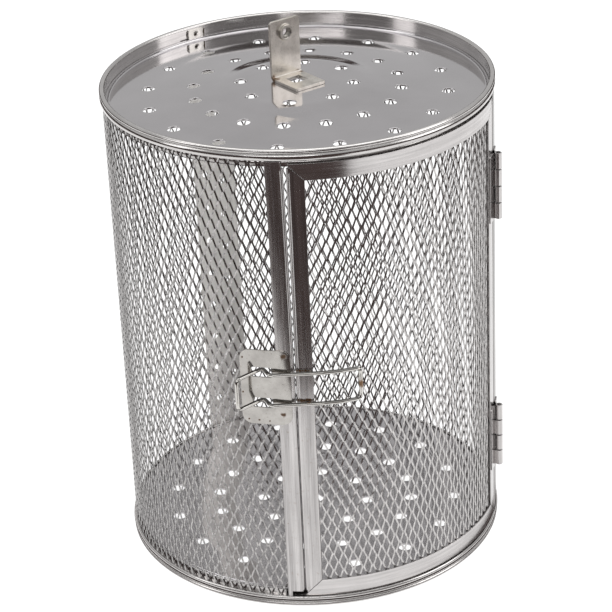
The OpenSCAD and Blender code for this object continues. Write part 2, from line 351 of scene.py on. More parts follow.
def tube(path, radius, sides):
    """A closed round wire along a closed path."""
    n = len(path)
    along = unit(np.roll(path, -1, axis=0) - np.roll(path, 1, axis=0))
    ref = unit(np.cross(along[0], [0.3, 0.2, 1.0]))
    frames = [ref]
    for i in range(1, n + 1):
        ref = ref - along[i % n] * np.dot(ref, along[i % n])
        ref = ref / np.linalg.norm(ref)
        frames.append(ref)
    other = np.cross(along[0], frames[0])
    twist = math.atan2(np.dot(frames[n], other), np.dot(frames[n], frames[0]))
    verts, normals, faces = [], [], []
    for i in range(n):
        e1 = frames[i]
        e2 = np.cross(along[i], e1)
        for j in range(sides):
            a = 2 * math.pi * j / sides - twist * i / n
            normals.append(e1 * math.cos(a) + e2 * math.sin(a))
            verts.append(path[i] + radius * normals[-1])
            k, m = (i + 1) % n, (j + 1) % sides
            faces.append([i * sides + j, i * sides + m, k * sides + m, k * sides + j])
    return np.array(verts), faces, np.array(normals)


def relax(path, rounds):
    """Cuts the corners of a closed path, round after round."""
    for _ in range(rounds):
        after = np.roll(path, -1, axis=0)
        path = np.stack([0.75 * path + 0.25 * after, 0.25 * path + 0.75 * after], axis=1).reshape(-1, 3)
    return path


# ------------------------------ materials

def cleared_tree(owner):
    """The empty node tree of a material or a world."""
    owner.use_nodes = True
    owner.node_tree.nodes.clear()
    return owner.node_tree


def add(tree, kind, inputs=(), **settings):
    """Adds a node, sets its properties, and links or sets its inputs."""
    node = tree.nodes.new(kind)
    for key, value in settings.items():
        setattr(node, key, value)
    for key, value in dict(inputs).items():
        if isinstance(value, bpy.types.NodeSocket):
            tree.links.new(value, node.inputs[key])
        else:
            node.inputs[key].default_value = value
    return node


def maths(tree, operation, *values):
    """The result of a Math node."""
    return add(tree, "ShaderNodeMath", dict(enumerate(values)), operation=operation).outputs[0]


def noise(tree, place, scale, stretch=(1, 1, 1), detail=4.0, roughness=0.55):
    """A noise value, with the piece's own coordinates stretched first."""
    mapped = add(tree, "ShaderNodeMapping", {"Vector": place, "Scale": stretch})
    made = add(tree, "ShaderNodeTexNoise",
               {"Vector": mapped.outputs[0], "Scale": scale, "Detail": detail, "Roughness": roughness})
    return made.outputs["Fac"]


def spread(tree, value, lo, hi, to_lo, to_hi, **settings):
    """Stretches the range lo to hi onto to_lo to to_hi, and holds it there."""
    made = add(tree, "ShaderNodeMapRange",
               {"Value": value, "From Min": lo, "From Max": hi, "To Min": to_lo, "To Max": to_hi}, **settings)
    return made.outputs[0]


def blend_colour(tree, factor, a, b):
    """Colour a where the factor is 0, and b where it is 1."""
    made = add(tree, "ShaderNodeMix", {0: factor, 6: a, 7: b}, data_type="RGBA")
    return made.outputs[2]


def opaque(colour, strength=1.0):
    """A colour at some strength, with its alpha."""
    return (*(strength * c for c in colour), 1)


def scorch_and_shade(tree, place, spots):
    """0 to 1 round each spot (x, y, z, radius in mm), with a ragged edge."""
    wobble = spread(tree, noise(tree, place, 900.0, detail=3.0), 0.2, 0.8, -0.35, 0.35)
    total = 0.0
    for x, y, z, r in spots:
        middle = (x * MM, y * MM, z * MM)
        away = add(tree, "ShaderNodeVectorMath", {0: place, 1: middle}, operation="DISTANCE")
        near = spread(tree, away.outputs["Value"], 0.0, r * MM, 1.0, 0.0)
        total = maths(tree, "MAXIMUM", total, near)
    return spread(tree, maths(tree, "ADD", total, wobble), 0.15, 0.6, 0.0, 1.0)


def painted_wire_shade(tree, place):
    """Painted shade: 1 along the upper and lower sides of the latch's two arms, where the wire is darkened.
    """
    height = add(tree, "ShaderNodeSeparateXYZ", {0: place}).outputs["Z"]
    # Folding the height about the latch's middle and then about an arm's middle brings both arms to 0.
    for middle in (LATCH_Z * MM, ARM_PITCH / 2 * MM):
        height = maths(tree, "ABSOLUTE", maths(tree, "SUBTRACT", height, middle))
    outer = spread(tree, height, 0.3 * MM, 0.62 * MM, 0.0, 1.0)
    clear = spread(tree, height, 0.82 * MM, 1.1 * MM, 1.0, 0.0)
    return maths(tree, "MULTIPLY", outer, clear)


def painted_side_shade(tree, place):
    """Painted shade: 1 on the sheared sides of the strands, which face along the sheet, and 0 on their flat
    faces.
    """
    outwards = add(tree, "ShaderNodeVectorMath", {0: place, 1: (1, 1, 0)}, operation="MULTIPLY").outputs[0]
    outwards = add(tree, "ShaderNodeVectorMath", {0: outwards}, operation="NORMALIZE").outputs[0]
    normal = add(tree, "ShaderNodeTexCoord").outputs["Normal"]
    facing = add(tree, "ShaderNodeVectorMath", {0: outwards, 1: normal}, operation="DOT_PRODUCT")
    return spread(tree, maths(tree, "ABSOLUTE", facing.outputs["Value"]), 0.4, 0.8, 1.0, 0.0)


GRAIN = 2400.0          # noise scale of the finest grain


def metal(name, light, dark, rough, stretch=(1, 1, 1), bump=0.2, smudge=60.0, streak=0.0, spots=(),
          burn_and_shade=None, edge_shade=False, side_shade=0.0):
    """Bare or plated metal with fine grain along the rolling direction and smudges from dark to light. It can
    have streaks, painted shade on the strands' sides, painted shade along a wire's arms, and spots in a
    colour and gloss of their own, which are weld scorch on some pieces and painted shade and shadow on
    others."""
    material = bpy.data.materials.new(name)
    tree = cleared_tree(material)
    place = add(tree, "ShaderNodeTexCoord").outputs["Object"]
    fine = noise(tree, place, GRAIN, stretch, 5.0, 0.6)
    wide = noise(tree, place, smudge, detail=3.0)
    colour = blend_colour(tree, spread(tree, wide, 0.3, 0.7, 0.0, 1.0), opaque(dark), opaque(light))
    gloss = spread(tree, fine, 0.3, 0.7, rough[0], rough[1])
    relief, depth = fine, 0.01 * MM
    if streak:
        drawn = noise(tree, place, GRAIN / 3, stretch, 3.0, 0.7)
        colour = blend_colour(tree, spread(tree, drawn, 0.35, 0.65, streak, 0.0), colour, opaque(dark, 0.35))
        relief, depth = maths(tree, "ADD", fine, drawn), 0.03 * MM
    # Painted shade on the strands' sides.
    if side_shade:
        sides = maths(tree, "MULTIPLY", painted_side_shade(tree, place), side_shade)
        colour = blend_colour(tree, sides, colour, opaque(dark, 0.2))
    # Painted shade along the upper and lower sides of the wire's arms.
    if edge_shade:
        colour = blend_colour(tree, painted_wire_shade(tree, place), colour, opaque(dark, 0.28))
    if spots:
        mark = scorch_and_shade(tree, place, spots)
        colour = blend_colour(tree, mark, colour, opaque(burn_and_shade[0]))
        gloss = add(tree, "ShaderNodeMix", {0: mark, 2: gloss, 3: burn_and_shade[1]}).outputs[0]
    ridges = add(tree, "ShaderNodeBump", {"Height": relief, "Strength": bump, "Distance": depth})
    shader = add(tree, "ShaderNodeBsdfPrincipled",
                 {"Base Color": colour, "Roughness": gloss, "Metallic": 1.0, "Normal": ridges.outputs[0]})
    add(tree, "ShaderNodeOutputMaterial", {"Surface": shader.outputs[0]})
    return material


def around(r, a, z, size):
    """A spot on the drum's wall, for weld scorch and for painted shade and shadow."""
    return *polar(r, a, z), size


STEEL_LIGHT = (0.65, 0.627, 0.62)
STEEL_DARK = (0.57, 0.548, 0.542)
UPRIGHT_GRAIN = (1, 1, 0.02)
ROUND_GRAIN = (0.03, 0.03, 1)

# Painted shade: the rim is darkened to near black where it shows through the slot at the latch post's foot.
foot_slot_shade_spots = [around(WALL_R + 0.3, DOOR_START - 0.4 - 1.4 * i, RIM_H + 1.4, 2.9) for i in range(4)]
# Painted shadow and reflection of the latch wire on the door's stile, in brown, just above each arm.
stile_shadow_spots = [around(STRIP_OUT, DOOR_START + 0.8 + 0.8 * i, z, size + 0.2 * (i % 2))
               for i in range(5) for z, size in ((LATCH_Z + 7.6, 0.6), (LATCH_Z - 5.6, 0.9))]
latch_spots = [around(STRIP_OUT + LEAF_T, a, LATCH_Z + z, size) for a, z, size in (
    (-92.8, 14.0, 1.7), (-93.6, -11.8, 1.4), (-104.7, 12.9, 0.7), (-105.0, -2.7, 0.6), (-103.6, -14.6, 0.6),
    (-100.6, -14.6, 0.6), (-97.6, -14.8, 0.6))]
bracket_spots = [(-8.6, 0.1, DRUM_H - 1.7, 2.4), (1.4, 8.5, DRUM_H - 1.7, 1.2)]
wire_spots = [around(WIRE_R, -71.3, LATCH_Z, 2.6), around(WIRE_R + 0.3, -86.2, LATCH_Z - 5.9, 1.3)]
strap_weld_and_shadow_spots = [around(WALL_R - 0.5, JOINT_ANGLE - 3.6, z, 1.0) for z in (3.5, DRUM_H - 3.5)]
# Painted shadow: a column of dark spots down the strap's end away from the joint.
strap_weld_and_shadow_spots += [around(WALL_R - 0.5, JOINT_ANGLE - 6.95, z, 1.0)
                for i in range(9) for z in (1.4 + 0.5 * i, DRUM_H - 1.4 - 0.5 * i)]

rim_steel = metal("rolled_rim_steel", (0.69, 0.668, 0.655), (0.6, 0.58, 0.57), (0.1, 0.2), ROUND_GRAIN,
                  streak=0.3, spots=foot_slot_shade_spots, burn_and_shade=((0.012, 0.01, 0.009), 0.6))
plate_steel = metal("stamped_plate_steel", (0.55, 0.532, 0.54), (0.5, 0.484, 0.49), (0.06, 0.1),
                    bump=0.08, smudge=35.0)
# Both meshes have painted shade on their strands' sides.
mesh_steel = metal("expanded_mesh_steel", (0.68, 0.658, 0.649), (0.36, 0.348, 0.342), (0.12, 0.24),
                   bump=0.3, smudge=800.0, side_shade=0.7)
wall_steel = metal("wall_mesh_steel", (0.54, 0.522, 0.514), (0.19, 0.184, 0.181), (0.12, 0.24),
                   bump=0.3, smudge=800.0, side_shade=1.0)
strip_steel = metal("frame_strip_steel", STEEL_LIGHT, STEEL_DARK, (0.12, 0.24), UPRIGHT_GRAIN,
                    streak=0.55, spots=stile_shadow_spots, burn_and_shade=((0.24, 0.15, 0.09), 0.5))
rail_steel = metal("frame_rail_steel", STEEL_LIGHT, STEEL_DARK, (0.14, 0.26), ROUND_GRAIN, streak=0.3)
# Painted shade: a darker copy of the strip steel for the hinge-side post.
shaded_post_steel = metal("shaded_hinge_post_steel", (0.36, 0.348, 0.342), (0.3, 0.29, 0.285), (0.2, 0.34), UPRIGHT_GRAIN,
                   streak=0.2)
# Painted light: a lighter copy of the strip steel for the seam strip inside the drum, where little light
# reaches.
lit_seam_steel = metal("lit_seam_strip_steel", (0.93, 0.91, 0.88), (0.84, 0.82, 0.79), (0.38, 0.52), UPRIGHT_GRAIN,
                   streak=0.2)
hinge_steel = metal("hinge_leaf_steel", STEEL_LIGHT, STEEL_DARK, (0.14, 0.24), UPRIGHT_GRAIN, streak=0.3)
pin_steel = metal("hinge_pin_steel", (0.2, 0.19, 0.185), (0.13, 0.12, 0.118), (0.3, 0.42))
latch_steel = metal("latch_plate_steel", (0.5, 0.48, 0.455), (0.37, 0.353, 0.333), (0.06, 0.12), smudge=160.0,
                    spots=latch_spots, burn_and_shade=((0.15, 0.1, 0.07), 0.5))
bracket_steel = metal("satin_plated_bracket", (0.66, 0.625, 0.58), (0.5, 0.47, 0.43), (0.24, 0.4), bump=0.6,
                      smudge=260.0, spots=bracket_spots, burn_and_shade=((0.2, 0.14, 0.1), 0.4))
# The wire has painted shade along its arms' upper and lower sides.
wire_steel = metal("spring_wire", (0.68, 0.66, 0.63), (0.56, 0.54, 0.51), (0.05, 0.09), edge_shade=True,
                   spots=wire_spots, burn_and_shade=((0.24, 0.15, 0.09), 0.4))
strap_steel = metal("welded_strap_steel", (0.72, 0.7, 0.67), (0.62, 0.6, 0.56), (0.16, 0.28),
                    spots=strap_weld_and_shadow_spots, burn_and_shade=((0.07, 0.055, 0.04), 0.4))


# ------------------------------ rims and end plates

def at_top(part):
    """Turns a lower-end part over, for the upper end."""
    verts, faces, normals = part
    flip = np.array([1, 1, -1.0])
    return verts * flip + [0, 0, DRUM_H], [face[::-1] for face in faces], normals * flip


def rim():
    """The rolled lip, the broad convex band beside it, and the inner wall with its open joint."""
    lip, band_w, band_h = 0.85, 0.9, 1.4
    outer, seat = DRUM_R - 0.1 - lip, DRUM_R - band_w
    back = WALL_R + WALL_T
    swell = arc(0, 0, 1, -60, 90, 16)
    band = np.column_stack([seat + band_w * swell[:, 0], RIM_H - band_h + band_h * swell[:, 1],
                            unit(swell[:, 2:] / [band_w, band_h])])
    groove = [[DRUM_R - 0.56, 1.79, 1, 0]]      # where the lip meets the band
    profile = np.vstack([
        arc(WALL_R + lip, lip, lip, 180, 270), arc(outer, lip, lip, 270, 420, 14), groove, band,
        flat(seat, RIM_H, back, RIM_H), flat(back, RIM_H, back, WALL_H, 2),
        arc(WALL_R + WALL_T / 2, WALL_H - WALL_T / 2, WALL_T / 2, 0, 180, 6),
        flat(WALL_R, WALL_H - 0.4, WALL_R, lip, 4)])
    half = angle_of(JOINT_GAP, WALL_R) / 2
    edge, past_strap = 0.02, 0.9
    a0, a1 = JOINT_ANGLE - half, JOINT_ANGLE + half + past_strap
    angles = np.linspace(0, 360, 288, endpoint=False)
    angles = angles[(angles < a0 - 0.3) | (angles > a1 + 0.3)]
    angles = np.sort(np.concatenate([angles, [a0 - edge, a0, a1, a1 + edge]]))

    def notch(r, z, a):
        """Cuts the inner wall away within the joint, above the lip."""
        gone = (a > a0 - edge / 2) & (a < a1 + edge / 2) & (z > lip + 0.1) & (r < back - 0.01)
        return np.where(gone, back - 0.02, r)

    return lathe(profile, np.radians(angles), notch)


CURLED = 44         # how many samples of the end plate's section belong to its curled edge


def stamped_section():
    """The end plate's middle surface from the axis outwards: distance along it, radius, depth and slope."""
    step, blur = 0.05, 40
    runs = [(26.4, 0.0), (8.1, 9.93), (26.1, 4.62), (15.6, 0.0)]       # length and slope, from the centre
    slope = np.concatenate([np.full(int(round(length / step)), a) for length, a in runs])
    window = np.ones(2 * blur + 1) / (2 * blur + 1)
    slope = np.convolve(np.pad(slope, blur, "edge"), window, "valid")
    curl = np.clip(np.linspace(0, -1.17, CURLED), -1, 0) * 90.0
    slope = np.radians(np.concatenate([slope, curl]))
    along = np.arange(len(slope) + 1) * step
    radius = np.concatenate([[0], np.cumsum(np.cos(slope))]) * step
    depth = np.concatenate([[0], np.cumsum(np.sin(slope))]) * step
    return along, radius, depth, np.concatenate([slope[:1], slope])


def spit_hole(x):
    """The rounded square hole for the spit, with its middle at x."""
    return box_loop(x - SPIT_HALF, -SPIT_HALF, x + SPIT_HALF, SPIT_HALF, (0.5,) * 4, 4)


def end_plate():
    """A stamped, perforated disc with a square hole for the spit, as the lower end."""
    thick, hole_r = 0.8, 2.7
    along, radius, depth, slope = stamped_section()
    fit = (WALL_R - thick / 2 - 0.05) / radius[-1]

    def place(p):
        s = np.hypot(p[:, 0], p[:, 1])
        x, y = p[:, 0] / np.maximum(s, 1e-9), p[:, 1] / np.maximum(s, 1e-9)
        tilt = np.interp(s, along, slope)
        r = np.interp(s, along, radius) * fit + p[:, 2] * np.sin(tilt)
        z = np.interp(s, along, depth) + PLATE_DEPTH + thick / 2 - p[:, 2] * np.cos(tilt)
        return np.column_stack([x * r, y * r, z])

    square = spit_hole(0)
    square = rotated(square[:, 0], square[:, 1], 0 * square[:, 0], BRACKET_TURN)[:, :2]
    loops = [circle_loop(0, 0, along[-1], 288), square]
    first_hole = 18.9
    # Each ring of holes has a radius, a number of holes and a shift of its first one.
    for r, n, shift in ((61.2, 16, 0.0), (42.4, 16, 0.0), (23.0, 8, 22.5)):
        s = np.interp(r / fit, radius[:-CURLED], along[:-CURLED])
        for i in range(n):
            a = math.radians(first_hole + shift + i * 360 / n)
            loops.append(circle_loop(s * math.cos(a), s * math.sin(a), hole_r, 36))
    bend = 75
    rings = [circle_loop(0, 0, r, max(8, int(2 * math.pi * r / 2.0))) for r in np.arange(1.2, bend, 1.2)]
    rings += [circle_loop(0, 0, r, 240) for r in np.arange(bend + 0.4, along[-1] - 0.1, 0.22)]
    return sheet(loops, thick, place, step=1.8, bevel=0.16, grid=np.vstack(rings))


def rim_strap():
    """The little plate that bridges the rim's joint on its inner side, with a raised weld spot."""
    thick, length, foot, head = 0.5, 8, 1.4, 5.4
    end = arc_length(JOINT_ANGLE, WALL_R) - JOINT_GAP / 2
    spot_u, spot_z, spot_r, spot_h = end - 4.2, (foot + head) / 2, 0.9, 0.28

    def place(p):
        dome = np.exp(-(((p[:, 0] - spot_u) / spot_r) ** 2 + ((p[:, 1] - spot_z) / spot_r) ** 2))
        r = WALL_R - thick / 2 + p[:, 2] - spot_h * dome * (p[:, 2] < 0)
        return about_z(r, p[:, 0] / WALL_R, p[:, 1])

    outline = box_loop(end - length, foot, end, head, (0.5,) * 4)
    return sheet([outline], thick, place, step=0.4, bevel=0.1)


# ------------------------------ expanded metal

STRANDS_ROUND = 242     # in a full turn
LONG_WAY = 8.0          # height of a diamond
STRAND_W = 0.7
STRAND_T = 0.18
STRAND_TILT = math.radians(12)
BOND = 0.6              # height over which two strands are joined
LEAN = 0.15             # how far the strands swing out of the sheet


def expanded(a0, a1, z0, z1, lean, holes=()):
    """Expanded metal from angle a0 to a1: upright zigzag strands that join their neighbours in turn. lean, 1
    or -1, is the way they lean out of the sheet. Holes are given by two angles and two heights each."""
    pitch = 2 * math.pi * MESH_MID / STRANDS_ROUND
    reach = (pitch - STRAND_W * math.cos(STRAND_TILT)) / 2
    step = 360 / STRANDS_ROUND
    side_gap = 0.35         # in pitches
    first, last = math.ceil(a0 / step + side_gap), math.floor(a1 / step - side_gap)
    ramp = LONG_WAY / 2 - BOND
    marks = [(-BOND / 2, 1), (BOND / 2, 1), (BOND / 2 + ramp / 2, 0), (LONG_WAY / 2 - BOND / 2, -1),
             (LONG_WAY / 2 + BOND / 2, -1), (LONG_WAY - BOND / 2 - ramp / 2, 0)]
    rows = range(int(DRUM_H / LONG_WAY) + 2)
    levels = np.array([(row * LONG_WAY + z, swing) for row in rows for z, swing in marks])
    heights, swings = levels[:, 0], levels[:, 1]
    cuts = np.concatenate([[z0], heights[(heights > z0 + 0.05) & (heights < z1 - 0.05)], [z1]])
    half_w, half_t = STRAND_W / 2, STRAND_T / 2
    c, s = math.cos(STRAND_TILT * lean), math.sin(STRAND_TILT * lean)
    corners = [(half_w * c * i - half_t * s * j, half_w * s * i + half_t * c * j)
               for i, j in ((-1, -1), (1, -1), (1, 1), (-1, 1))]
    verts, faces, count = [], [], 0
    for k in range(first, last + 1):
        angle = k * step
        sway = np.interp(cuts, heights, swings) * (1 if k % 2 else -1)
        runs = [cuts]
        for h0, h1, w0, w1 in holes:
            if h0 < angle < h1:
                runs = [part for run in runs for part in (run[run < w0], run[run > w1]) if len(part) > 1]
        for run in runs:
            at = np.interp(run, cuts, sway)
            edges = []
            for du, dr in corners:
                r = MESH_MID - at * LEAN * lean + dr
                edges.append(about_z(r, math.radians(angle) + (at * reach + du) / MESH_MID, run))
            verts.append(np.stack(edges, axis=1).reshape(-1, 3))
            n = len(run)
            base = count + 4 * np.arange(n - 1)[:, None]
            for j in range(4):
                m = (j + 1) % 4
                faces.append(np.hstack([base + j, base + m, base + 4 + m, base + 4 + j]))
            lower_end, upper_end = count + np.arange(3, -1, -1), count + 4 * n - 4 + np.arange(4)
            faces.append(np.array([lower_end, upper_end]))
            count += 4 * n
    return np.vstack(verts), np.vstack(faces).tolist(), None


# ------------------------------ strips

FOLD_DEPTH = 0.75       # half the depth of a folded edge
FOLD_R = 0.42
FOLD_EDGE = FOLD_R + STRIP_T / 2
CURL = 2.0              # how much of the sheet the bend takes up
RETURN_W = 3.5          # width of the sheet behind the bend
FOLD_LOW = WALL_H + 0.4
FOLD_HIGH = DRUM_H - FOLD_LOW
RAIL_LOW = float(low("door_bottom_rail")[2])
RAIL_HIGH = float(high("door_top_rail")[2])
DOOR_LEFT = arc_length(DOOR_START) + DOOR_GAP / 2
DOOR_RIGHT = arc_length(DOOR_END) - DOOR_GAP / 2


def mitred(outline, gap=0.06):
    """Pulls an outline in a little, so that neighbours meet in a fine line."""
    loop = np.array(outline, float)
    return shrink(loop if signed_area(loop) > 0 else loop[::-1], gap)


def strip(outline):
    """A plain frame strip bent round the drum."""
    return sheet([mitred(outline)], STRIP_T, wrap(STRIP_MID), step=1.6, bevel=0.12)


def folded(outline, edge, sign):
    """A frame strip whose edge is folded back round the mesh. The outline is (distance, height), the distance
    measured from where the fold starts; edge gives the fold's place round the drum at each height, and sign
    the side of it on which the strip lies."""
    groove_s, groove_w, groove_depth = 0.42, 0.14, 0.1

    def place(p):
        s, w = p[:, 0], p[:, 2]
        turn = np.clip(-s / CURL, 0, 1) * math.pi
        past = np.maximum(-s - CURL, 0)
        groove = groove_depth * np.exp(-((s - groove_s) / groove_w) ** 2) * (w > 0)
        along = edge(p[:, 1]) + sign * (FOLD_EDGE + np.maximum(s, 0) + past - (FOLD_R + w) * np.sin(turn))
        r = STRIP_MID - FOLD_DEPTH * (1 - np.cos(turn)) + w * np.cos(turn) - groove
        return about_z(r, along / STRIP_MID, p[:, 1])

    points = np.asarray(outline, float)
    loop = divide(points, lambda p, q: 0.3 if abs(p[1] - q[1]) < 0.2 else 1.4)
    across = np.concatenate([np.arange(-CURL - RETURN_W + 0.9, -CURL, 1.1), np.arange(-CURL + 0.1, 0.9, 0.17),
                             np.arange(1.8, STRIP_W - FOLD_EDGE, 1.2)])
    lowest, highest = points[:, 1].min(), points[:, 1].max()
    grid = np.array([(u, v) for u in across for v in np.arange(lowest + 0.7, highest, 1.6)])
    return sheet([loop], STRIP_T, place, step=1.4, bevel=0.12, grid=grid)


def door_strips():
    """The door's four frame strips by CAD node, mitred at the corners. The stiles' edges are folded back."""
    w, e = STRIP_W, FOLD_EDGE
    back = CURL + RETURN_W
    stile = mitred([(0, RAIL_LOW + e), (w - e, RAIL_LOW + w), (w - e, RAIL_HIGH - w), (0, RAIL_HIGH - e),
                    (0, FOLD_HIGH), (-CURL, FOLD_HIGH), (-back, FOLD_HIGH - RETURN_W),
                    (-back, FOLD_LOW + RETURN_W), (-CURL, FOLD_LOW), (0, FOLD_LOW)])
    top = [(DOOR_LEFT, RAIL_HIGH), (DOOR_LEFT + w, RAIL_HIGH - w), (DOOR_RIGHT - w, RAIL_HIGH - w),
           (DOOR_RIGHT, RAIL_HIGH)]
    bottom = [(DOOR_LEFT, RAIL_LOW), (DOOR_RIGHT, RAIL_LOW), (DOOR_RIGHT - w, RAIL_LOW + w),
              (DOOR_LEFT + w, RAIL_LOW + w)]
    return {"door_latch_stile": folded(stile, lambda z: DOOR_LEFT + 0 * z, 1),
            "door_hinge_stile": folded(stile, lambda z: DOOR_RIGHT + 0 * z, -1),
            "door_top_rail": strip(top), "door_bottom_rail": strip(bottom)}


def post(slot_w=0, slot_h=0):
    """The outline of an upright post, with a slot of this size at the foot of its folded edge."""
    w, back = STRIP_W - FOLD_EDGE, CURL + RETURN_W
    outline = [(w, RIM_H), (w, DRUM_H - RIM_H), (0, DRUM_H - RIM_H), (0, FOLD_HIGH), (-back, FOLD_HIGH),
               (-back, FOLD_LOW), (0, FOLD_LOW), (0, RIM_H + slot_h)]
    if slot_w:
        outline = [(slot_w, RIM_H)] + outline + [(slot_w, RIM_H + slot_h)]
    return outline


def latch_post():
    """The fixed post beside the door's free edge, which leans away from it towards its top."""
    edge = arc_length(DOOR_START) - DOOR_GAP / 2
    heights, shifts = [0, 0.5, 0.8, 1], [0.55, 0.45, 0, -0.5]
    return folded(post(4.4, 2.4), lambda z: edge + np.interp(z / DRUM_H, heights, shifts), -1)


def hinge_post():
    """The fixed post beside the hinges."""
    edge = arc_length(DOOR_END) + DOOR_GAP / 2
    return folded(post(), lambda z: edge + 0 * z, 1)


def seam_strip():
    """The strip inside the wall over the mesh's seam, with two columns of holes."""
    radius = MESH_OUT - 0.6 - STRIP_T / 2
    middle = arc_length(SEAM_ANGLE, radius)
    hole_r, hole_pitch = 1.4, 16
    columns = ((-3.6, 16), (4.4, 21))
    loop = box_loop(middle - SEAM_W / 2, WALL_H, middle + SEAM_W / 2, DRUM_H - WALL_H)
    holes = [circle_loop(middle + u, z + hole_pitch * k, hole_r, 24) for u, z in columns for k in range(11)]
    return sheet([loop] + holes, STRIP_T, wrap(radius), step=2.0, bevel=0.12)


# ------------------------------ latch

def latch_plate():
    """The bright plate with two windows for the wire's bends."""
    left, right = arc_length(-105.6, LEAF_MID), arc_length(-91.0, LEAF_MID)
    window_left, window_right = arc_length(-102.2, LEAF_MID), arc_length(-96.3, LEAF_MID)
    window_half = 2.1
    half = (high("latch_plate")[2] - low("latch_plate")[2]) / 2
    loops = [box_loop(left, LATCH_Z - half, right, LATCH_Z + half, (4.0,) * 4, 10)]
    for side in (-1, 1):
        z = arm_z(side)
        loops.append(box_loop(window_left, z - window_half, window_right, z + window_half, (0.7,) * 4))
    return sheet(loops, LEAF_T, wrap(LEAF_MID), step=1.0, bevel=0.14)


def latch_wire():
    """The closed spring loop: welded end bar, two arms that dip through the windows, and the finger loop."""
    # Radius and angle along an arm, from the weld to the finger loop.
    arm = [(WIRE_R, -71.3), (80.8, -77), (80.9, -82), (81.1, -88), (81.7, -93), (82.4, -95.7), (82.1, -96.8),
           (78.2, -98.9), (77.7, -99.5), (78.2, -100.2), (88.5, -104.6)]
    corner, wire_r = 2.4, 0.8

    def run(side):
        return [np.array(polar(r, a, arm_z(side))) for r, a in arm]

    def rounded(before, at, after):
        s = at + unit(before - at) * corner
        e = at + unit(after - at) * corner
        return [(1 - t) ** 2 * s + 2 * t * (1 - t) * at + t * t * e for t in np.linspace(0, 1, 7)]

    lower, upper = run(-1), run(1)
    path = rounded(upper[0], lower[0], lower[1]) + lower[1:-1] + rounded(lower[-2], lower[-1], upper[-1])
    path += rounded(lower[-1], upper[-1], upper[-2]) + upper[-2:0:-1] + rounded(upper[1], upper[0], lower[0])
    return tube(relax(divide(np.array(path), lambda p, q: 1.1), 2), wire_r, 18)


# ------------------------------ hinges

def hinge_leaf(z, side, first):
    """A leaf whose fingers run under the barrel and roll round the pin. side is 1 for the fixed leaf and -1
    for the door's. first is the lower of its two knuckles, counted from 0."""
    height, leaf_w, knuckle, gap = 29.2, 7.0, 7.3, 0.5
    root, corner, roll_r, rise_w = leaf_w - 1.6, 1.0, 1.15, 2.6
    tip = leaf_w + roll_r * math.radians(325)
    foot, head = z - height / 2, z + height / 2
    outline = corner_points(corner, foot + corner, corner, 180, 270, 5) + [(root, foot)]
    for i in (first, first + 2):
        bottom, top = foot + i * knuckle + gap / 2, foot + (i + 1) * knuckle - gap / 2
        outline += [(root, bottom), (tip, bottom), (tip, top), (root, top)]
    outline += [(root, head)] + corner_points(corner, head - corner, corner, 90, 180, 5)

    def place(p):
        d = leaf_w - p[:, 0]
        delta = side * np.maximum(d, 0) / LEAF_MID
        rise = np.clip(1 - d / rise_w, 0, 1)
        joggle = (HINGE_R - roll_r - LEAF_MID) * rise * rise * (3 - 2 * rise)
        r = LEAF_MID + joggle + p[:, 2]
        phi = np.maximum(-d, 0) / roll_r
        roll = roll_r - p[:, 2]
        x = HINGE_R + np.where(d < 0, -roll * np.cos(phi), r * np.cos(delta) - HINGE_R)
        y = np.where(d < 0, -side * roll * np.sin(phi), r * np.sin(delta))
        return rotated(x, y, p[:, 1], DOOR_END)

    def length(p, q):
        """Finer along the fingers, which roll."""
        return 0.28 if max(p[0], q[0]) > root + 0.1 and abs(p[1] - q[1]) < 1e-6 else 1.2

    us = np.concatenate([np.arange(0.8, root, 1.2), np.arange(root - 0.2, tip, 0.28)])
    grid = np.array([(u, v) for u in us for v in np.arange(foot + 0.6, head, 1.2)])
    loop = divide(np.array(outline), length)
    return sheet([loop], LEAF_T, place, step=1.25, bevel=0.1, grid=grid)


def hinge_pin(z):
    """A pin with domed, peened ends."""
    r, half, dome, axis_r = 0.75, 14.8, 0.35, 0.001
    profile = np.vstack([[axis_r, half, 0, 1], arc(r - dome, half - dome, dome, 90, 0, 5),
                         arc(r - dome, dome - half, dome, 0, -90, 5), [axis_r, -half, 0, -1]])
    verts, faces, normals = lathe(profile, full_turn(24))
    return verts + polar(HINGE_R, DOOR_END, z), faces, normals


# ------------------------------ drive bracket

